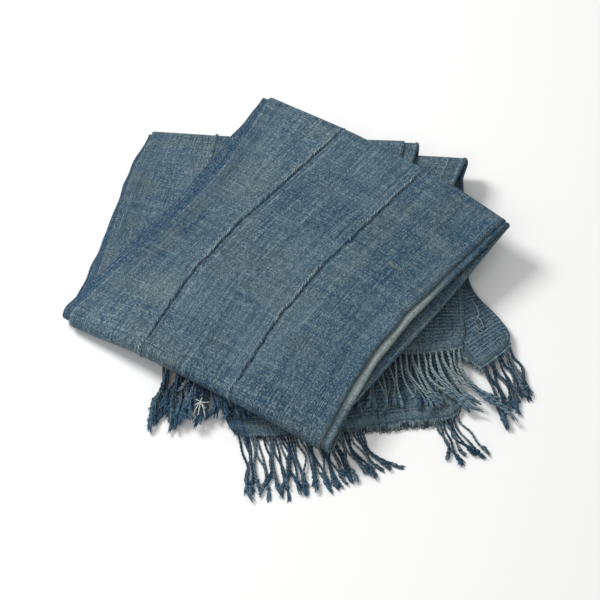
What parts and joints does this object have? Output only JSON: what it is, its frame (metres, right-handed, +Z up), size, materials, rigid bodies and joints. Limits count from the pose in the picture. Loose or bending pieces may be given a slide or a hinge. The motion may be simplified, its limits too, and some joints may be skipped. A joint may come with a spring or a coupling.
{
  "type": "folded hand-woven throw",
  "caption": "Indigo hand-woven cotton throw of narrow strips sewn side by side, fringed at both ends, folded into a loose packet.",
  "frame": {"origin": "centre of the base of the folded throw's bounding box, on the floor it lies on", "axes": "+Z up from the floor; +Y away from the two fringed hems towards the far folds; +X to the right as seen from the fringed side"},
  "size_m": [0.5432, 0.5824, 0.0599],
  "materials": {
    "cloth": "matte, worn",
    "fringe": "matte"
  },
  "bodies": {
    "root": {"strip_1": "cloth", "strip_2": "cloth", "strip_3": "cloth", "strip_4": "cloth", "strip_5": "cloth", "strip_6": "cloth", "strip_7": "cloth", "strip_8": "cloth", "strip_9": "cloth", "fringe_upper_1": "fringe", "fringe_upper_2": "fringe", "fringe_upper_3": "fringe", "fringe_upper_4": "fringe", "fringe_upper_5": "fringe", "fringe_upper_6": "fringe", "fringe_upper_7": "fringe", "fringe_upper_8": "fringe", "fringe_upper_9": "fringe", "fringe_lower_1": "fringe", "fringe_lower_2": "fringe", "fringe_lower_3": "fringe", "fringe_lower_4": "fringe", "fringe_lower_5": "fringe", "fringe_lower_6": "fringe", "fringe_lower_7": "fringe", "fringe_lower_8": "fringe", "fringe_lower_9": "fringe"}
  },
  "joints": []
}
